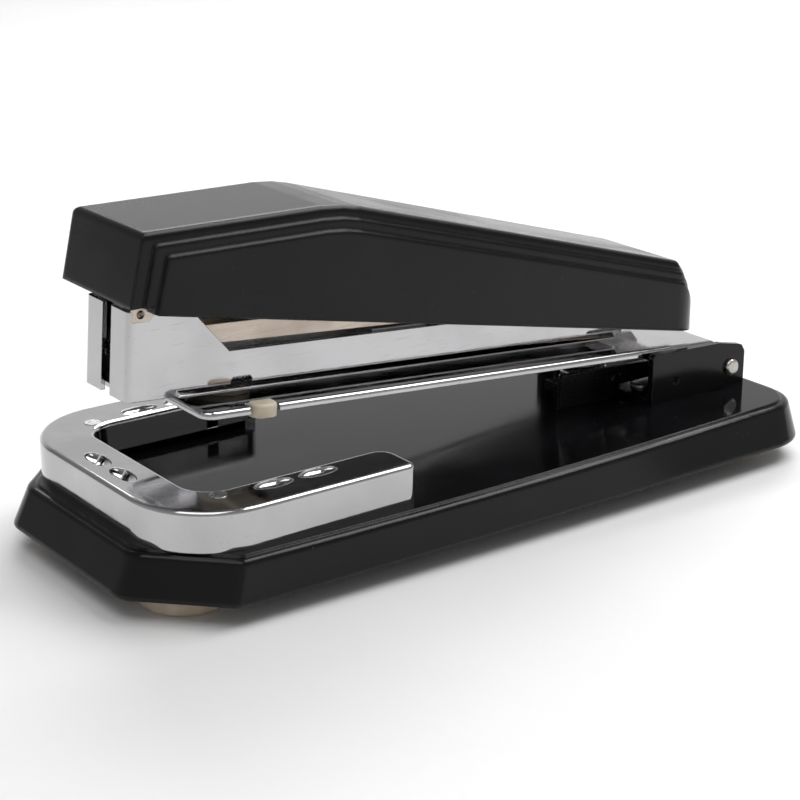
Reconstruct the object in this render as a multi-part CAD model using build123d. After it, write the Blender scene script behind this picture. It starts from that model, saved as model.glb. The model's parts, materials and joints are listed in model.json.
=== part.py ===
"""Rotary-head desk stapler, in millimetres.

+X runs from the staple exit to the rear hinge, +Z is up, and the origin is the
middle of the rest plane under the feet.
"""
import os
from math import cos, radians, sin

from build123d import *

# Base
BASE_TOP_X = (-75.3, 75.4)
BASE_LOW_X = (-78.8, 77.2)
BASE_TOP_Y = (33.0, 34.5, 31.8)
BASE_LOW_Y = (34.7, 35.7, 35.3)
DECK_Z = 12.0
SKIRT_TOP_Z = 11.6
SKIRT_LOW_Z = 3.8
WALL = 2.0
FOOT_POINTS = [(-64.5, -18.5), (-64.5, 18.5), (65, -19), (65, 19)]
FOOT_R = 8.0
SCREW_POINTS = [(-46, -26), (-46, 26), (48, -25), (48, 25)]

# Anvil frame
FRAME_FRONT = -72.5
FRAME_REAR = -23.2
FRAME_HALF = 30.8
FRAME_INNER = 20.7
FRAME_THROAT = -62.4
FRAME_H = 7.5
FRAME_T = 1.2
ANVIL_FRONT_X = -68.0
ANVIL_SIDE_X = -44.4
ANVIL_SIDE_Y = 23.6

# Arm hinge: the arm frame has its origin on the pin and its first axis along the arm
PIN_X = 67.7
PIN_Z = 16.3
PIN_R = 1.3
TILT = 4.6
RUN = 0.06

# Carrier arm, in the arm frame
PLATE_FRONT = -126.0
PLATE_REAR = -2.8
PLATE_HALF = 15.6
PLATE_TOP = 5.3
PLATE_T = 1.0
LIP_LOW = 3.95
SWIVEL_U = -113.6
STUD_R = 3.0
NECK_R = 4.5
LUG_LOW = 3.3

# Magazine, in the arm frame
MAG_LOW = 6.3
MAG_T = 0.9
MAG_HALF = 7.6
MAG_TOP = 13.5
NOSE_FRONT = -137.0
NOSE_TOP = 22.3
MAG_REAR = -24.0
RAIL_HALF = 5.7
RAIL_TOP = 12.8
ROD_W = 16.2
ROD_R = 0.9

# Handle, in the arm frame
HANDLE_U = -7.5
HANDLE_W = 11.8
HANDLE_PIN_R = 1.4
SCREW_U = -96.0
ARM_OUT = 9.4
ARM_IN = 8.6

# Cover side profile, in the row frame
COVER_SHAPE = [
    (-78.4, 12.0), (63.4, 12.0), (63.4, 27.0), (61.7, 29.2), (59.3, 37.0), (57.4, 39.3),
    (-22.5, 62.48), (-26.0, 63.25), (-30.0, 63.62), (-66.2, 64.2),
]
COVER_UNDER = [
    (-90, 0), (75, 0), (75, 30.4), (63.6, 23.6), (-64.9, 50.1), (-64.9, 51.5), (-90, 51.5),
]


def arm(shape):
    """Move a shape from the arm frame to the row frame."""
    return Pos(PIN_X, 0, PIN_Z) * Rot(0, TILT, 0) * shape


def block(x0, x1, y0, y1, z0, z1):
    """Box between two corners."""
    return Pos((x0 + x1) / 2, (y0 + y1) / 2, (z0 + z1) / 2) * Box(x1 - x0, y1 - y0, z1 - z0)


def rod(x, z, r, y0, y1):
    """Cylinder along Y."""
    return Pos(x, (y0 + y1) / 2, z) * Rot(90, 0, 0) * Cylinder(r, y1 - y0)


def post(x, y, r, z0, z1):
    """Cylinder along Z."""
    return Pos(x, y, (z0 + z1) / 2) * Cylinder(r, z1 - z0)


def slab(points, y0, y1):
    """Side profile, given as (x, z) points, made solid between two Y planes."""
    face = make_face(Plane.XZ * Polyline(*points, close=True))
    return Pos(0, y0, 0) * extrude(face, y1 - y0, dir=(0, 1, 0))


def both(shape):
    """A shape and its mirror image across the middle plane."""
    return shape + mirror(shape, about=Plane.XZ)


def coil(radius, wire, height, turns):
    """Open coil along +Z that starts at the origin plane."""
    path = Helix(height / turns, height, radius)
    start = path @ 0
    tangent = path % 0
    ring = Plane(origin=start, z_dir=tangent) * Circle(wire)
    return sweep(ring, path)


def base_plan(inset, low):
    """Plan outline of the base at deck level, or at the foot of the skirt."""
    front, rear = BASE_LOW_X if low else BASE_TOP_X
    ends, middle, tail = BASE_LOW_Y if low else BASE_TOP_Y
    front, rear = front + inset, rear - inset
    near = ThreePointArc((front, inset - ends), (-8, inset - middle), (rear, inset - tail))
    far = ThreePointArc((rear, tail - inset), (-8, middle - inset), (front, ends - inset))
    back = Line((rear, inset - tail), (rear, tail - inset))
    nose = Line((front, ends - inset), (front, inset - ends))
    face = make_face(near + back + far + nose)
    groups = face.vertices().group_by(Axis.X)
    cut = (14.5 if low else 13.6) - 0.6 * inset
    face = chamfer(groups[0], cut)
    face = fillet(face.vertices().group_by(Axis.X)[-1], (12 if low else 9) - inset)
    face = fillet(face.vertices().group_by(Axis.X)[0], 6)
    return fillet(face.vertices().filter_by_position(Axis.X, front + cut - 1, front + cut + 1), 2.5)


def base_shell():
    """Flared skirt with a raised deck, hollow underneath, with screw bosses."""
    low = Pos(0, 0, SKIRT_LOW_Z) * base_plan(0, True)
    high = Pos(0, 0, SKIRT_TOP_Z) * base_plan(0, False)
    body = loft([low, high], ruled=True)
    body = fillet(body.edges().group_by(Axis.Z)[-1], 1.1)
    body = fillet(body.edges().group_by(Axis.Z)[0], 0.7)
    body += Pos(0, 0, SKIRT_TOP_Z - 1) * extrude(base_plan(1.4, False), DECK_Z - SKIRT_TOP_Z + 1)
    low_in = Pos(0, 0, SKIRT_LOW_Z - 0.1) * base_plan(WALL, True)
    high_in = Pos(0, 0, DECK_Z - WALL) * base_plan(WALL + 0.6, False)
    body -= loft([low_in, high_in], ruled=True)
    for x, y in SCREW_POINTS:
        body += post(x, y, 3.6, 5.8, DECK_Z - WALL + 0.1)
        body -= post(x, y, 1.3, 5.7, 10.6)
    for y in (-22.5, 22.5):
        body -= post(-59.5, y, 1.0, 9, 13)
    for x in (51, 60):
        for y in (-9, 9):
            body -= post(x, y, 1.5, 9, 13)
    return body


def base_plate():
    """Flat plate that closes the base."""
    plate = Pos(0, 0, 4.4) * extrude(base_plan(WALL + 1.8, True), 1.4)
    for x, y in SCREW_POINTS:
        plate -= post(x, y, 1.4, 4, 6)
    for x, y in FOOT_POINTS:
        plate -= post(x, y, 1.5, 4, 6)
    return plate


def rubber_feet():
    """Four pads, each with a stem that snaps through the plate."""
    pad = fillet(post(0, 0, FOOT_R, 0, 4.4).edges().group_by(Axis.Z)[0], 0.8)
    foot = pad + post(0, 0, 1.5, 4.4, 5.8) + post(0, 0, 2.1, 5.8, 6.6)
    return Compound(children=[Pos(x, y, 0) * foot for x, y in FOOT_POINTS])


def base_screws():
    """Pan-head screws under the base."""
    head = post(0, 0, 2.6, 3.4, 4.4) - block(-2, 2, -0.35, 0.35, 3.3, 3.9)
    screw = head + post(0, 0, 1.3, 4.4, 10.2)
    return Compound(children=[Pos(x, y, 0) * screw for x, y in SCREW_POINTS])


def anvil_frame():
    """Chrome U frame with three pairs of clinching grooves."""
    points = [
        (FRAME_FRONT, -FRAME_HALF),
        (FRAME_REAR, -FRAME_HALF),
        (FRAME_REAR, -FRAME_INNER),
        (FRAME_THROAT, -FRAME_INNER),
        (FRAME_THROAT, FRAME_INNER),
        (FRAME_REAR, FRAME_INNER),
        (FRAME_REAR, FRAME_HALF),
        (FRAME_FRONT, FRAME_HALF),
    ]
    face = make_face(Polyline(*points, close=True))
    face = fillet(face.vertices().group_by(Axis.X)[0], 16)
    throat = face.vertices().filter_by_position(Axis.X, FRAME_THROAT - 0.1, FRAME_THROAT + 0.1)
    face = fillet(throat, 6)
    ends = face.vertices().group_by(Axis.X)[-1]
    face = fillet([v for v in ends if abs(v.Y) < 22], 3.5)
    ends = face.vertices().filter_by_position(Axis.X, FRAME_REAR - 0.1, FRAME_REAR + 0.1)
    face = fillet([v for v in ends if abs(v.Y) > 30], 1.6)
    body = Pos(0, 0, DECK_Z) * extrude(face, FRAME_H)
    body = fillet(body.edges().group_by(Axis.Z)[-1], 0.9)
    body -= Pos(0, 0, DECK_Z - 0.1) * extrude(offset(face, -FRAME_T), FRAME_H - FRAME_T + 0.1)
    edge = FRAME_INNER + FRAME_T + 0.01
    body -= block(FRAME_THROAT - FRAME_T - 0.01, FRAME_REAR + 1, -edge, edge, DECK_Z - 1, DECK_Z + 1.5)
    body -= block(-35.8, -33.3, -edge, edge, DECK_Z + 1.6, DECK_Z + 4.4)
    for y in (-4.6, 4.6):
        rib = Pos(ANVIL_FRONT_X, y, DECK_Z + FRAME_H - 0.6) * Rot(0, 0, 50) * Box(7, 0.35, 1.2)
        body -= anvil_pocket(ANVIL_FRONT_X, y, 90, 8.0) - rib
        for side in (-1, 1):
            body -= anvil_pocket(ANVIL_SIDE_X + y, side * ANVIL_SIDE_Y, 0, 7.8)
    for y in (-22.5, 22.5):
        body -= post(-59.5, y, 1.0, 17, 21)
    return body


def anvil_pocket(x, y, turn, length):
    """Bowl-shaped oval clinching pocket."""
    return Pos(x, y, DECK_Z + FRAME_H) * Rot(0, 0, turn) * scale(Sphere(1), by=(length / 2, 1.75, 1.0))


def frame_rivets():
    """Nearly flush rivets that hold the frame to the deck."""
    rivets = []
    for y in (-22.5, 22.5):
        head = fillet(post(-59.5, y, 1.6, 19.5, 19.6).edges().group_by(Axis.Z)[-1], 0.06)
        tail = post(-59.5, y, 1.8, 9.4, 10.0)
        rivets.append(head + post(-59.5, y, 1.0, 10.0, 19.5) + tail)
    return Compound(children=rivets)


def hinge_bracket():
    """Black two-wall bracket with a floor."""
    outline = [(45.6, 12.0), (45.6, 22.9), (64.6, 22.0), (70.6, 20.7), (71.6, 19.2), (71.6, 12.0)]
    wall = slab(outline, -17.9, -16.5)
    wall = fillet(wall.edges().filter_by(Axis.Y).filter_by_position(Axis.Z, 18, 24), 0.9)
    body = both(wall) + block(45.6, 71.6, -17.0, 17.0, 12.0, 13.2)
    body -= rod(PIN_X, PIN_Z, PIN_R, -20, 20)
    body -= rod(52.3, 16.4, 0.8, -18.5, -17.4)
    body -= rod(52.3, 16.4, 0.8, 17.4, 18.5)
    for x in (51, 60):
        for y in (-9, 9):
            body -= post(x, y, 1.5, 11, 14)
    return body


def bracket_rivets():
    """Four rivets through the bracket floor and the deck."""
    rivets = []
    for x in (51, 60):
        for y in (-9, 9):
            head = fillet(post(x, y, 2.4, 13.2, 14.0).edges().group_by(Axis.Z)[-1], 0.5)
            rivets.append(head + post(x, y, 1.5, 10.0, 13.2) + post(x, y, 2.2, 9.3, 10.0))
    return Compound(children=rivets)


def spring_channel():
    """Spring seat with a tall wall on one side and a low one on the other."""
    body = block(37.8, 45.4, -8.5, 6.0, 12.0, 13.0)
    wall = [(29.4, 12.0), (29.4, 18.7), (30.0, 19.3), (54.0, 17.9), (54.0, 14.4), (45.4, 14.4), (45.4, 12.0)]
    body += slab(wall, -8.5, -7.5)
    body += slab([(40.0, 12.0), (40.0, 15.5), (41.5, 16.6), (45.4, 16.6), (45.4, 12.0)], 5.0, 6.0)
    return body - rod(44.1, 15.8, 0.8, -9, -7)


def spring_pin():
    """Rivet in the tall wall of the spring seat."""
    head = fillet(rod(44.1, 15.8, 1.4, -9.1, -8.5).edges().group_by(Axis.Y)[0], 0.3)
    return head + rod(44.1, 15.8, 0.8, -8.5, -7.5) + rod(44.1, 15.8, 1.2, -7.5, -7.2)


def arm_lift_spring():
    """Upright coil between its seat and the arm."""
    return Pos(42.6, 0, 13.75) * coil(4.4, 0.45, 7.8, 5)


def hinge_pin():
    """Hinge pin with a domed head at each end."""
    head = fillet(rod(PIN_X, PIN_Z, 1.75, -18.8, -17.9).edges().group_by(Axis.Y)[0], 0.6)
    return rod(PIN_X, PIN_Z, PIN_R, -17.9, 17.9) + both(head)


def carrier_plate():
    """Wide plate with turned-down edges and two hinge ears, in the arm frame."""
    face = make_face(Polyline(
        (PLATE_FRONT, -PLATE_HALF), (PLATE_REAR, -PLATE_HALF),
        (PLATE_REAR, PLATE_HALF), (PLATE_FRONT, PLATE_HALF), close=True))
    face = fillet(face.vertices().group_by(Axis.X)[0], 2.5)
    body = Pos(0, 0, LIP_LOW) * extrude(face, PLATE_TOP - LIP_LOW)
    body = fillet(body.edges().group_by(Axis.Z)[-1], 0.9)
    body -= Pos(0, 0, LIP_LOW - 1) * extrude(offset(face, -PLATE_T), PLATE_TOP - LIP_LOW + 1 - PLATE_T)
    ear = [(-24, 4.8), (-24, LIP_LOW), (-4, -2.4), (2.2, -2.4), (2.8, -1.6), (2.8, 3.0), (-1.5, 4.8)]
    body += both(slab(ear, -PLATE_HALF, -PLATE_HALF + PLATE_T))
    body -= rod(0, 0, PIN_R + RUN, -17, 17)
    body -= both(block(SWIVEL_U - 3.0, SWIVEL_U + 3.0, 13.2, 17, 2, 7))
    body -= post(SWIVEL_U, 0, NECK_R + 0.05, 0, 7)
    return body


def swivel_disc():
    """Nylon spool in the plate's hole, with two lugs that grip the plate edges."""
    top = MAG_LOW - 0.08
    body = post(SWIVEL_U, 0, 5.6, PLATE_TOP, top) + post(SWIVEL_U, 0, NECK_R, LUG_LOW, top)
    plan = make_face(Polyline(
        (SWIVEL_U - 2.2, 0), (SWIVEL_U + 2.2, 0), (SWIVEL_U + 2.6, 16.5), (SWIVEL_U - 2.6, 16.5), close=True))
    plan = fillet(plan.vertices().group_by(Axis.Y)[-1], 1.8)
    lug = Pos(0, 0, LUG_LOW) * extrude(plan, PLATE_TOP - PLATE_T - LUG_LOW)
    tip = Pos(0, 0, LUG_LOW) * extrude(plan, 5.8 - LUG_LOW) & block(-130, -90, 13.6, 20, 0, 9)
    lug += fillet(tip.edges().group_by(Axis.Z)[-1].group_by(Axis.Y)[-1], 0.7)
    body += both(lug)
    return body - post(SWIVEL_U, 0, STUD_R, 0, 8)


def swivel_stud():
    """Stud that the magazine turns on."""
    body = post(SWIVEL_U, 0, STUD_R, LUG_LOW, 7.26)
    body += post(SWIVEL_U, 0, 5.0, LUG_LOW - 0.9, LUG_LOW)
    return body + post(SWIVEL_U, 0, 4.6, 7.26, 8.2)


def magazine_shell():
    """Open-topped channel with a tall nose, in the arm frame."""
    side = [
        (NOSE_FRONT, MAG_LOW), (MAG_REAR, MAG_LOW), (MAG_REAR + 5.5, MAG_TOP),
        (-116.6, MAG_TOP), (-124.6, NOSE_TOP - 0.7), (-127.0, NOSE_TOP), (NOSE_FRONT, NOSE_TOP),
    ]
    body = slab(side, -MAG_HALF, MAG_HALF)
    corner = body.edges().filter_by(Axis.Z).group_by(Axis.X)[0]
    body = fillet(corner, 1.2)
    inner = MAG_HALF - MAG_T
    body -= block(NOSE_FRONT + MAG_T, 0, -inner, inner, MAG_LOW + MAG_T, 30)
    body -= block(NOSE_FRONT - 1, NOSE_FRONT + 1.2, -1.6, 1.6, 5, 30)
    body -= block(-136.1, -134.9, -6.6, 6.6, 5, 8)
    body -= post(SWIVEL_U, 0, STUD_R + RUN, 5, 8)
    window = Plane.XZ * SlotOverall(4.6, 1.9)
    body -= Pos(-113.8, 10, 7.6) * extrude(window, 20)
    flange = Plane.YZ * make_face(Polyline(
        (MAG_HALF - 0.2, MAG_LOW), (MAG_HALF + 0.9, MAG_LOW), (MAG_HALF + 0.9, MAG_LOW + 0.3),
        (MAG_HALF - 0.2, MAG_LOW + 1.4), close=True))
    body += both(Pos(-127, 0, 0) * extrude(flange, 127 + MAG_REAR - 0.8))
    return body - rod(-28, 10.6, 1.2, -9, 9)


def staple_rail():
    """Inverted channel that the staples straddle."""
    body = block(-134.7, -34.2, -RAIL_HALF, RAIL_HALF, MAG_LOW + MAG_T, RAIL_TOP)
    return body - block(-140, -30, -RAIL_HALF + 0.8, RAIL_HALF - 0.8, 0, RAIL_TOP - 0.8)


def staple_strip():
    """Glued strip of staples."""
    body = block(-134.9, -85, -6.35, 6.35, 7.35, 13.35)
    return body - block(-140, -80, -5.85, 5.85, 0, 12.85)


def staple_cover():
    """Inverted guard over the front of the strip, hung on the nose pin."""
    side = [(-128.5, 14.95), (-58, 14.2), (-58, 15.6), (-88, 16.4), (-90, 18.4), (-128.5, 18.4)]
    body = slab(side, -6.5, 6.5)
    body -= slab([(-140, 0), (-50, 0), (-50, 30), (-89.4, 30), (-89.4, 17.7), (-140, 17.7)], -5.8, 5.8)
    return body - rod(-123.5, ROD_W, 0.8, -8, 8)


def handle_bracket():
    """Rear bracket riveted in the channel; its ears carry the handle pin."""
    ear = [
        (-33, 7.3), (-24.6, 7.3), (-23.4, 8.2), (-6.6, 8.2), (-4.6, 10.2), (-4.9, 12.4),
        (-6.4, 13.8), (-9.0, 14.2), (-13, 14.0), (-24, 12.6), (-33, 12.6),
    ]
    body = both(slab(ear, -6.6, -5.6))
    body += block(-33, -12, -6.0, 6.0, 8.2, 9.2)
    body += block(-33, -32, -6.6, 6.6, 7.3, 17.5)
    body -= rod(HANDLE_U, HANDLE_W, HANDLE_PIN_R + RUN, -8, 8)
    body -= rod(-28, 10.6, 1.2, -8, 8)
    return body - Pos(-32.5, 0, ROD_W) * Rot(0, 90, 0) * Cylinder(ROD_R, 4)


def magazine_rivets():
    """Rivets that join the rear bracket to the channel."""
    rivet = rod(-28, 10.6, 1.2, -7.6, -5.6) + rod(-28, 10.6, 1.9, -8.2, -7.6)
    rivet += rod(-28, 10.6, 1.35, -5.6, -5.1)
    return Compound(children=[rivet, mirror(rivet, about=Plane.XZ)])


def nose_cross_pin():
    """Pin across the nose that anchors the pusher rod."""
    return rod(-123.5, ROD_W, 0.8, MAG_T - MAG_HALF, MAG_HALF - MAG_T)


def pusher_rod():
    """Guide rod of the pusher."""
    return Pos(-76.7, 0, ROD_W) * Rot(0, 90, 0) * Cylinder(ROD_R, 91.8)


def pusher_spring():
    """Coil on the guide rod behind the pusher."""
    return Pos(-71.2, 0, ROD_W) * Rot(0, 90, 0) * coil(1.7, 0.28, 37.4, 16)


def handle_spring():
    """Coil that lifts the handle."""
    return Pos(-21, 0, 9.7) * coil(2.9, 0.4, 7.9, 6)


def pusher():
    """Saddle that runs on the rail and the rod."""
    body = block(-84.7, -72, -6.4, 6.4, 7.6, 13.9)
    body -= block(-90, -60, -5.78, 5.78, 0, 12.88)
    body += block(-84.7, -72, -1.2, 1.2, 13.5, 15)
    body += Pos(-78.35, 0, ROD_W) * Rot(0, 90, 0) * Cylinder(2.2, 12.7)
    return body - Pos(-78.35, 0, ROD_W) * Rot(0, 90, 0) * Cylinder(ROD_R + RUN, 14)


def press_arm():
    """Inverted steel channel inside the cover, straddling the magazine."""
    side = [
        (-133.4, 22.6), (-132.4, 22.2), (-24, 9.9), (-8, 8.2), (-5.5, 9.8), (-5.5, 12.2),
        (-9.5, 13.9), (-16, 18.9), (-125, 30.7), (-133.4, 27.4),
    ]
    body = slab(side, -ARM_OUT, ARM_OUT)
    roof = [(-140, 0), (0, 0), (0, 30), (-16, 30), (-16, 17.8), (-122, 29.28), (-140, 29.28)]
    body -= slab(roof, -ARM_IN, ARM_IN)
    body -= slab([(-140, 20), (-140, 40), (-122, 40), (-122, 20)], -ARM_IN, ARM_IN)
    body += slab([(-134.6, 28.8), (-118.5, 28.8), (-118.5, 29.8), (-134.6, 29.8)], -5.6, 5.6)
    tab = [(-137.2, 21.0), (-134.0, 21.0), (-132.6, 22.8), (-132.6, 25.0), (-137.2, 25.0)]
    body += slab(tab, -ARM_OUT, -ARM_IN)
    body -= rod(-135.7, 22.4, 0.75, -12, 0)
    body -= rod(HANDLE_U, HANDLE_W, HANDLE_PIN_R, -12, 12)
    for y in (-5, 5):
        body -= post(SCREW_U, y, 1.1, 15, 35)
    return body


def driver_blade():
    """Blade that drives one staple through the nose slot."""
    side = [(-135.70, 15.2), (-135.20, 15.2), (-134.75, 27.0), (-135.25, 27.0)]
    return slab(side, -6.2, 6.2)


def driver_holder():
    """Block behind the blade, under the arm's front tongue."""
    side = [(-134.87, 22.7), (-131, 22.7), (-131, 28.8), (-134.62, 28.8)]
    body = slab(side, -6.2, 6.2)
    return body - rod(-132.7, 24.6, 0.8, -8, 8)


def handle_pin():
    """Pin that the handle turns on."""
    return rod(HANDLE_U, HANDLE_W, HANDLE_PIN_R, -ARM_OUT, ARM_OUT)


def soften(body, radius):
    """Round the edges of the upward faces."""
    tops = body.faces().filter_by(lambda f: f.normal_at().Z > 0.6)
    edges = ShapeList(set(tops.edges()))
    return fillet(edges, radius)


def tier(points, half, front_r, rear_r):
    """One level of the cover: a side profile cut by a rounded plan."""
    body = slab(points, -half, half)
    box = body.bounding_box()
    plan = make_face(Polyline(
        (box.min.X, -half), (box.max.X, -half), (box.max.X, half), (box.min.X, half), close=True))
    plan = fillet(plan.vertices().group_by(Axis.X)[0], front_r)
    plan = fillet(plan.vertices().group_by(Axis.X)[-1], rear_r)
    return body & extrude(plan, 100)


def level(amount, front, rear):
    """Cover side profile with its top lowered and its ends moved."""
    points = []
    for x, z in COVER_SHAPE:
        shift = front if x < -50 else (rear if x > 50 else 0)
        points.append((x + shift, z - amount if z > 30 else z))
    return points


def top_cover():
    """Black stepped cover, open underneath and notched at the rear for the arm."""
    body = soften(tier(level(0, 0, 0), 12.2, 2.6, 7.0), 1.4)
    body += soften(tier(level(2.1, 2.1, 0.4), 12.9, 2.0, 7.5), 0.65)
    body += soften(tier(level(4.2, 4.0, 0.8), 13.6, 1.6, 8.0), 0.65)
    body -= slab(COVER_UNDER, -20, 20)
    inside = [(-67.9, 40), (75, 10), (75, 32.2), (58.4, 32.2), (56.4, 34.4), (53.8, 37.2),
              (-24.2, 60.5), (-34.6, 61.6), (-64.0, 62.0), (-67.0, 57), (-67.9, 50.5)]
    body -= tier(inside, 9.9, 1.0, 3.0)
    inside = [(-62.6, 40), (61, 15), (61, 26), (59.2, 29.6), (-59.6, 56.6), (-62.6, 50)]
    body -= tier(inside, 11.6, 1.0, 5.0)
    for y in (-5, 5):
        roof = arm_roof(SCREW_U)
        boss = arm(post(SCREW_U, y, 2.6, roof + 0.35, roof + 14))
        body += boss & slab(level(1.0, 1, 1), -9, 9)
        body -= arm(post(SCREW_U, y, 1.0, roof - 1, roof + 4.5))
    return body


def arm_roof(u):
    """Height of the press arm's top face, in the arm frame."""
    return 18.9 + (30.7 - 18.9) * (-16 - u) / 109


def cover_screws():
    """Screws that join the cover to the press arm."""
    screws = []
    roof = arm_roof(SCREW_U)
    for y in (-5, 5):
        head = post(SCREW_U, y, 2.0, roof - 2.4, roof - 1.45)
        screws.append(head + post(SCREW_U, y, 1.0, roof - 1.45, roof + 4))
    return Compound(children=screws)


BASE_PARTS = [
    base_shell, base_plate, rubber_feet, base_screws, anvil_frame, frame_rivets,
    hinge_bracket, bracket_rivets, spring_channel, spring_pin, arm_lift_spring, hinge_pin,
]
ARM_PARTS = [
    carrier_plate, swivel_disc, swivel_stud, magazine_shell, staple_rail, staple_strip, staple_cover,
    handle_bracket, magazine_rivets, nose_cross_pin, pusher_rod, pusher_spring,
    handle_spring, pusher, press_arm, driver_blade, driver_holder, handle_pin, cover_screws,
]

os.makedirs("parts", exist_ok=True)
for make in BASE_PARTS:
    export_step(make(), f"parts/{make.__name__}.step")
for make in ARM_PARTS:
    export_step(arm(make()), f"parts/{make.__name__}.step")
export_step(top_cover(), "parts/top_cover.step")
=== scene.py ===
"""Looks of the rotary-head desk stapler: finishes, staples, floor, light and camera."""
import json
import math

import bpy
from mathutils import Matrix, Vector


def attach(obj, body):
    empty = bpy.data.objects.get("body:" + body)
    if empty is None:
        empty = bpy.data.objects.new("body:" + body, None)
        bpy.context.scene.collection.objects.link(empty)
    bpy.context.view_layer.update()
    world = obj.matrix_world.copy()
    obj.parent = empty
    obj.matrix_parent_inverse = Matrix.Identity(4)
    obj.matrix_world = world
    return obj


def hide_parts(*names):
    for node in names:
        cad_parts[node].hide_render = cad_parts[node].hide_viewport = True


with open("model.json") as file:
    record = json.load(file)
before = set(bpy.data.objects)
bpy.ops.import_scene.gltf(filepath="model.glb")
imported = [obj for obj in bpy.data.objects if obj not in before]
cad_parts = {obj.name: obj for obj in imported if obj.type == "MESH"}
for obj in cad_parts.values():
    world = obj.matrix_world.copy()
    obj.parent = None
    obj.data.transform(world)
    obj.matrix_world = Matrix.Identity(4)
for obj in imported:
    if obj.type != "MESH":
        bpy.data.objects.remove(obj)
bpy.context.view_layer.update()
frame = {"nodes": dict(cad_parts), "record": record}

MM = 0.001

# Arm frame of the CAD: the origin is on the hinge pin, u runs along the arm,
# y across it and w up from it
HINGE = (67.7 * MM, 0, 16.3 * MM)
ARM_TILT = 4.6
ARM = Matrix.Translation(HINGE) @ Matrix.Rotation(math.radians(ARM_TILT), 4, "Y")

# Wire staples, in millimetres in the arm frame
STAPLE_COUNT = 71
STAPLE_PITCH = 0.70
STRIP_FRONT = -134.9
LEG_Y = 6.1
LEG_LOW = 7.4
LEG_STRAIGHT = 1.2
CROWN_W = 13.1
BEND_RADIUS = 0.7
BEND_STEPS = 5
WIRE_HALF_WIDE = 0.33
WIRE_HALF_THICK = 0.24
# Section of the wire: shares of its half width and half thickness
WIRE_SECTION = [
    (-1, -0.6), (-0.6, -1), (0.6, -1), (1, -0.6),
    (1, 0.6), (0.6, 1), (-0.6, 1), (-1, 0.6),
]

# Camera
AIM = Vector((-0.0223, -0.0242, 0.0294))
AZIMUTH = -36.34
ELEVATION = 19.30
DISTANCE = 0.36
LENS = 90.7
SENSOR = 36.0
NEAREST = 0.01

# Studio: grey levels of the world by height and by how far it faces the bright side
FLOOR_HALF = 3
SKY_LEVELS = [(0.0, 0.95), (0.15, 0.90), (0.45, 0.60), (1.0, 0.35)]
BRIGHT_SIDE = (0.64, 0.77, 0)
SIDE_LEVELS = [(0.0, 0.55), (0.40, 0.30), (0.75, 1.0), (1.0, 1.0)]

# Softboxes: name, place, point they face, size in metres, watts
SOFTBOXES = [
    ("key", (0.44, -0.10, 0.72), (0, 0, 0.03), (0.55, 0.45), 4.0),
    ("top", (-0.30, -0.20, 0.90), (0, 0, 0.02), (0.7, 0.6), 2.5),
    ("back", (0.42, 0.57, 0.62), (0, 0, 0.04), (0.7, 0.30), 4.0),
]

# Colours that several finishes share
DUST = (0.10, 0.10, 0.10)
WORN_PAINT = (0.09, 0.09, 0.095)
PALE_FLOOR = (0.86, 0.86, 0.86)
PALER_FLOOR = (0.88, 0.88, 0.88)
DRAWN_LINE_SHADE = 0.7
GRIME_SHADE = 0.62


# ---------------------------------------------------------------- materials

def colour_sockets(sockets):
    """The colour sockets of a Mix node, which also has number and vector ones."""
    return [socket for socket in sockets if socket.type == "RGBA"]


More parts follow.
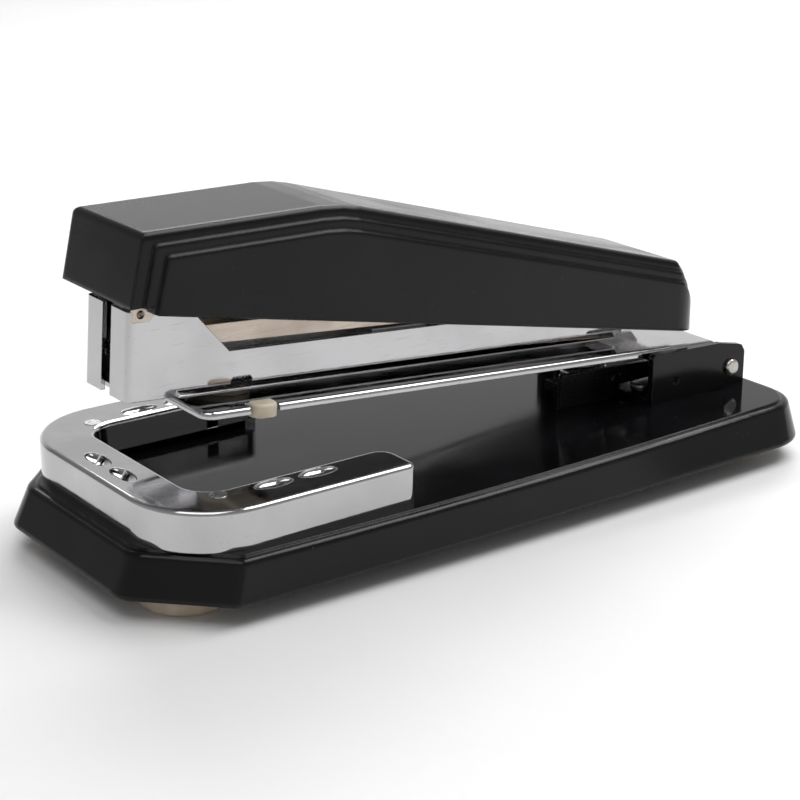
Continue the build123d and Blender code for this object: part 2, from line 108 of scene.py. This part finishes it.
class Finish:
    """One procedural material on a Principled shader, in the object's coordinates."""

    def __init__(self, name, color, metallic, roughness, **values):
        self.material = bpy.data.materials.new(name)
        self.material.use_nodes = True
        self.tree = self.material.node_tree
        self.shader = self.tree.nodes["Principled BSDF"]
        self.shader.inputs["Base Color"].default_value = (*color, 1)
        self.shader.inputs["Metallic"].default_value = metallic
        self.shader.inputs["Roughness"].default_value = roughness
        for socket, value in values.items():
            self.shader.inputs[socket.replace("_", " ")].default_value = value
        self.place = self.tree.nodes.new("ShaderNodeTexCoord").outputs["Object"]
        self.normal = None

    def node(self, kind, **settings):
        """A new node with these settings."""
        made = self.tree.nodes.new(kind)
        for key, value in settings.items():
            setattr(made, key, value)
        return made

    def link(self, source, target):
        """Join an output to an input."""
        self.tree.links.new(source, target)

    def noise(self, size, detail=3.0, stretch=(1, 1, 1), seed=0.0):
        """Noise whose features are about size millimetres; stretch lengthens them."""
        mapping = self.node("ShaderNodeMapping")
        mapping.inputs["Location"].default_value = (seed, seed * 0.7, seed * 1.3)
        mapping.inputs["Scale"].default_value = [1 / s for s in stretch]
        self.link(self.place, mapping.inputs["Vector"])
        texture = self.node("ShaderNodeTexNoise")
        texture.inputs["Scale"].default_value = 1 / MM / size
        texture.inputs["Detail"].default_value = detail
        self.link(mapping.outputs["Vector"], texture.inputs["Vector"])
        return texture.outputs["Fac"]

    def span(self, value, low, high, start=0.35, end=0.65):
        """Turn a noise value from start to end into one from low to high."""
        made = self.node("ShaderNodeMapRange", interpolation_type="SMOOTHSTEP")
        made.inputs["From Min"].default_value = start
        made.inputs["From Max"].default_value = end
        made.inputs["To Min"].default_value = low
        made.inputs["To Max"].default_value = high
        self.link(value, made.inputs["Value"])
        return made.outputs["Result"]

    def combine(self, operation, a, b):
        """Two values added or multiplied."""
        made = self.node("ShaderNodeMath", operation=operation)
        self.link(a, made.inputs[0])
        self.link(b, made.inputs[1])
        return made.outputs[0]

    def blend(self, value, below, above):
        """Colour above laid by value over below, a colour or another node's output."""
        made = self.node("ShaderNodeMix", data_type="RGBA")
        first, second = colour_sockets(made.inputs)
        if isinstance(below, bpy.types.NodeSocket):
            self.link(below, first)
        else:
            first.default_value = (*below, 1)
        second.default_value = (*above, 1)
        self.link(value, made.inputs["Factor"])
        return colour_sockets(made.outputs)[0]

    def rounded(self, width, samples):
        """Normal of the surface as if its edges were rounded by width millimetres."""
        bevel = self.node("ShaderNodeBevel", samples=samples)
        bevel.inputs["Radius"].default_value = width * MM
        return bevel.outputs["Normal"]

    def edges(self, width, low, high):
        """1 on edges of about width millimetres, 0 elsewhere."""
        plain = self.node("ShaderNodeNewGeometry").outputs["Normal"]
        dot = self.node("ShaderNodeVectorMath", operation="DOT_PRODUCT")
        self.link(self.rounded(width, 4), dot.inputs[0])
        self.link(plain, dot.inputs[1])
        made = self.node("ShaderNodeMapRange")
        made.inputs["From Min"].default_value = high
        made.inputs["From Max"].default_value = low
        self.link(dot.outputs["Value"], made.inputs["Value"])
        return made.outputs["Result"]

    def soften(self, width):
        """Round the look of every edge by that many millimetres; relief comes after."""
        self.normal = self.rounded(width, 6)

    def relief(self, height, depth):
        """Bump of that depth in millimetres, on top of any earlier one."""
        bump = self.node("ShaderNodeBump")
        bump.inputs["Distance"].default_value = depth * MM
        bump.inputs["Strength"].default_value = 1.0
        self.link(height, bump.inputs["Height"])
        if self.normal is not None:
            self.link(self.normal, bump.inputs["Normal"])
        self.normal = bump.outputs["Normal"]
        self.link(self.normal, self.shader.inputs["Normal"])

    def color(self, value):
        """Colour of the surface, from a node."""
        self.link(value, self.shader.inputs["Base Color"])

    def rough(self, value):
        """Roughness of the surface, from a node."""
        self.link(value, self.shader.inputs["Roughness"])


# In the three makers below, dark and light bound the colour and low and high the
# roughness; depths of bumps are in millimetres

def lacquer(name, dark, light, low, high, peel, wear, corner=0.3):
    """Black paint: orange peel, smudges, dust and a little wear on the edges."""
    f = Finish(name, dark, 0.0, low, IOR=1.33)
    f.soften(corner)
    cloud = f.noise(22, 4, seed=1.7)
    specks = f.span(f.noise(0.7, 2, seed=4.1), 0, 1, 0.74, 0.80)
    dusty = f.combine("MULTIPLY", specks, f.span(cloud, 0.1, 0.6))
    base = f.blend(dusty, f.blend(f.span(cloud, 0, 1), dark, light), DUST)
    scuffs = f.span(f.noise(3, 4, seed=8.0), 0, wear, 0.45, 0.62)
    rubbed = f.combine("MULTIPLY", f.edges(0.35, 0.93, 0.995), scuffs)
    f.color(f.blend(rubbed, base, WORN_PAINT))
    smudge = f.span(f.noise(13, 5, (2.2, 1, 1), 2.3), low, high)
    grain = f.span(f.noise(0.5, 2, seed=6.0), 0.0, (high - low) * 0.5)
    f.rough(f.combine("ADD", smudge, grain))
    f.relief(f.noise(1.6, 2, seed=3.0), peel)
    f.relief(f.noise(9, 2, seed=5.0), peel * 2.2)
    return f.material


def plating(name, dark, light, low, high, ripple, along):
    """Bright or satin steel: faint ripples, smudges and drawn lines stretched along."""
    f = Finish(name, light, 1.0, low)
    f.soften(0.22)
    cloud = f.noise(18, 4, seed=2.2)
    base = f.blend(f.span(cloud, 0, 1), dark, light)
    line = f.noise(0.35, 2, along, 5.5)
    drawn = f.span(line, 0, 0.35, 0.62, 0.75)
    f.color(f.blend(drawn, base, [c * DRAWN_LINE_SHADE for c in dark]))
    smudge = f.span(f.noise(8, 5, (1.5, 1, 1), 7.3), low, high)
    f.rough(f.combine("ADD", smudge, f.span(line, 0, (high - low) * 0.6)))
    f.relief(f.noise(11, 1, seed=1.0), ripple)
    f.relief(line, 0.0025)
    return f.material


def rubber(name, dark, light, low, high, grain, clear=0.0):
    """Moulded rubber or nylon: fine grain, mottling and grime."""
    f = Finish(name, light, 0.0, high, Subsurface_Weight=clear, Subsurface_Scale=0.8 * MM)
    mottled = f.blend(f.span(f.noise(4, 4, seed=3.3), 0, 1), dark, light)
    grime = f.span(f.noise(9, 5, seed=9.1), 0, 0.5, 0.5, 0.75)
    f.color(f.blend(grime, mottled, [c * GRIME_SHADE for c in dark]))
    f.rough(f.span(f.noise(1.2, 3, seed=1.1), low, high))
    f.relief(f.noise(0.25, 3, seed=2.1), grain)
    return f.material


def floor_finish():
    """Pale matt floor with a faint cloud."""
    f = Finish("floor_pale", PALE_FLOOR, 0.0, 0.5)
    f.color(f.blend(f.span(f.noise(60, 3), 0, 1), PALE_FLOOR, PALER_FLOOR))
    f.rough(f.span(f.noise(2, 2), 0.5, 0.6))
    return f.material


# Finish of each material slot: its maker, then dark, light, low, high and the rest
FINISHES = {
    "base_black": (lacquer, (0.003, 0.003, 0.0034), (0.005, 0.005, 0.006),
                   0.05, 0.12, 0.0012, 0.30, 0.7),
    "cover_black": (lacquer, (0.0025, 0.0025, 0.003), (0.0045, 0.0045, 0.005),
                    0.17, 0.24, 0.0004, 0.22, 0.9),
    "bracket_black": (lacquer, (0.002, 0.002, 0.003), (0.005, 0.005, 0.006),
                      0.08, 0.16, 0.0012, 0.40),
    "channel_black": (lacquer, (0.003, 0.003, 0.004), (0.007, 0.007, 0.008),
                      0.16, 0.28, 0.0015, 0.40),
    "plate_grey": (lacquer, (0.030, 0.030, 0.032), (0.045, 0.045, 0.047),
                   0.38, 0.52, 0.004, 0.25),
    "chrome": (plating, (0.49, 0.485, 0.495), (0.56, 0.555, 0.565),
               0.035, 0.09, 0.008, (14, 1, 1)),
    "chrome_rivet": (plating, (0.46, 0.46, 0.47), (0.56, 0.56, 0.57),
                     0.12, 0.26, 0.004, (3, 1, 1)),
    "nickel_satin": (plating, (0.46, 0.44, 0.41), (0.56, 0.54, 0.51),
                     0.22, 0.36, 0.004, (1, 5, 1)),
    "press_nickel": (plating, (0.52, 0.44, 0.38), (0.62, 0.54, 0.47),
                     0.26, 0.40, 0.006, (16, 1, 1)),
    "spring_steel": (plating, (0.34, 0.33, 0.32), (0.48, 0.47, 0.46),
                     0.16, 0.30, 0.002, (2, 1, 1)),
    "staple_steel": (plating, (0.52, 0.52, 0.53), (0.64, 0.64, 0.65),
                     0.14, 0.26, 0.002, (1, 8, 1)),
    "blade_steel": (plating, (0.12, 0.12, 0.125), (0.20, 0.20, 0.205),
                    0.18, 0.34, 0.003, (1, 1, 12)),
    "pusher_zinc": (plating, (0.38, 0.38, 0.39), (0.48, 0.48, 0.49),
                    0.28, 0.45, 0.006, (4, 1, 1)),
    "screw_steel": (plating, (0.34, 0.33, 0.32), (0.46, 0.45, 0.44),
                    0.20, 0.36, 0.003, (2, 1, 1)),
    "feet_cream": (rubber, (0.46, 0.37, 0.27), (0.56, 0.47, 0.36), 0.55, 0.75, 0.02),
    "nylon_cream": (rubber, (0.58, 0.51, 0.40), (0.68, 0.62, 0.50), 0.35, 0.5, 0.006, 0.15),
}


# ---------------------------------------------------------------- CAD nodes

def dress_nodes(materials):
    """Give every CAD node the finish of its slot."""
    for part in frame["record"]["subparts"]:
        node = frame["nodes"][part["node"]]
        finish = materials[part["material_slot"]]
        for index in range(len(node.data.materials)):
            node.data.materials[index] = finish
        if not node.data.materials:
            node.data.materials.append(finish)


# ---------------------------------------------------------------- new pieces

def in_scene(name, data):
    """New object in the scene for a mesh, light or camera."""
    made = bpy.data.objects.new(name, data)
    bpy.context.scene.collection.objects.link(made)
    return made


def mesh_object(name, verts, faces, material, smooth_angle=35):
    """New mesh object, smooth up to that angle between its faces."""
    mesh = bpy.data.meshes.new(name)
    mesh.from_pydata(verts, [], faces)
    mesh.validate()
    mesh.polygons.foreach_set("use_smooth", [True] * len(mesh.polygons))
    mesh.set_sharp_from_angle(angle=math.radians(smooth_angle))
    mesh.materials.append(material)
    return in_scene(name, mesh)


def staple_path():
    """Centre line of one staple in its (y, w) plane, leg to leg."""
    points = [(-LEG_Y, LEG_LOW), (-LEG_Y, LEG_LOW + LEG_STRAIGHT)]
    for step in range(BEND_STEPS + 1):
        angle = math.radians(180 - 90 / BEND_STEPS * step)
        points.append((
            -LEG_Y + BEND_RADIUS + BEND_RADIUS * math.cos(angle),
            CROWN_W - BEND_RADIUS + BEND_RADIUS * math.sin(angle),
        ))
    return points + [(-y, w) for y, w in reversed(points)]


def staples(material):
    """Glued strip of separate wire staples, in place of the solid strip."""
    verts, faces = [], []
    path = staple_path()
    corners = len(WIRE_SECTION)
    for number in range(STAPLE_COUNT):
        middle = STRIP_FRONT + STAPLE_PITCH * (number + 0.5)
        start = len(verts)
        for index, (y, w) in enumerate(path):
            before = Vector(path[max(index - 1, 0)])
            after = Vector(path[min(index + 1, len(path) - 1)])
            along = (after - before).normalized()
            for wide, thick in WIRE_SECTION:
                point = Vector((
                    middle + WIRE_HALF_WIDE * wide,
                    y - along.y * WIRE_HALF_THICK * thick,
                    w + along.x * WIRE_HALF_THICK * thick,
                ))
                verts.append(ARM @ (point * MM))
        for ring in range(len(path) - 1):
            for corner in range(corners):
                a = start + ring * corners + corner
                b = start + ring * corners + (corner + 1) % corners
                faces.append((a, b, b + corners, a + corners))
        end = start + (len(path) - 1) * corners
        faces.append([start + corner for corner in range(corners)][::-1])
        faces.append([end + corner for corner in range(corners)])
    made = mesh_object("staples", verts, faces, material, 40)
    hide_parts("staple_strip")
    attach(made, "head")


# ---------------------------------------------------------------- studio

def floor():
    """Pale floor that reaches well past the view."""
    far = FLOOR_HALF
    verts = [(-far, -far, 0), (far, -far, 0), (far, far, 0), (-far, far, 0)]
    mesh_object("floor", verts, [(0, 1, 2, 3)], floor_finish())


def level_ramp(tree, value, levels):
    """Grey level that follows a value through the given (place, level) steps."""
    ramp = tree.nodes.new("ShaderNodeValToRGB")
    tree.links.new(value, ramp.inputs["Fac"])
    while len(ramp.color_ramp.elements) < len(levels):
        ramp.color_ramp.elements.new(0.5)
    for element, (place, level) in zip(ramp.color_ramp.elements, levels):
        element.position = place
        element.color = (level, level, level, 1)
    return ramp.outputs["Color"]


def sky():
    """World light: paler near the horizon and towards the bright side."""
    world = bpy.data.worlds.new("studio")
    bpy.context.scene.world = world
    world.use_nodes = True
    tree = world.node_tree
    direction = tree.nodes.new("ShaderNodeTexCoord").outputs["Generated"]
    split = tree.nodes.new("ShaderNodeSeparateXYZ")
    tree.links.new(direction, split.inputs["Vector"])
    facing = tree.nodes.new("ShaderNodeVectorMath")
    facing.operation = "DOT_PRODUCT"
    facing.inputs[1].default_value = BRIGHT_SIDE
    tree.links.new(direction, facing.inputs[0])
    mix = tree.nodes.new("ShaderNodeMix")
    mix.data_type = "RGBA"
    mix.blend_type = "MULTIPLY"
    mix.inputs["Factor"].default_value = 1.0
    by_height, by_side = colour_sockets(mix.inputs)
    tree.links.new(level_ramp(tree, split.outputs["Z"], SKY_LEVELS), by_height)
    tree.links.new(level_ramp(tree, facing.outputs["Value"], SIDE_LEVELS), by_side)
    back = tree.nodes["Background"]
    back.inputs["Strength"].default_value = 1.0
    tree.links.new(colour_sockets(mix.outputs)[0], back.inputs["Color"])


def softbox(name, place, aim, size, power):
    """Rectangular area light that faces a point."""
    light = bpy.data.lights.new(name, "AREA")
    light.shape = "RECTANGLE"
    light.size, light.size_y = size
    light.energy = power
    made = in_scene(name, light)
    made.location = place
    made.rotation_euler = (Vector(aim) - Vector(place)).to_track_quat("-Z", "Y").to_euler()


def camera():
    """Camera that looks at AIM from that azimuth, elevation and distance."""
    data = bpy.data.cameras.new("camera")
    data.lens = LENS
    data.sensor_width = SENSOR
    data.clip_start = NEAREST
    azimuth, elevation = math.radians(AZIMUTH), math.radians(ELEVATION)
    look = Vector((
        -math.sin(azimuth) * math.cos(elevation),
        math.cos(azimuth) * math.cos(elevation),
        -math.sin(elevation),
    ))
    made = in_scene("camera", data)
    made.location = AIM - look * DISTANCE
    made.rotation_euler = look.to_track_quat("-Z", "Y").to_euler()
    bpy.context.scene.camera = made


materials = {slot: make(slot, *values) for slot, (make, *values) in FINISHES.items()}
dress_nodes(materials)
staples(materials["staple_steel"])
floor()
sky()
for settings in SOFTBOXES:
    softbox(*settings)
camera()
bpy.context.scene.view_settings.view_transform = "Standard"
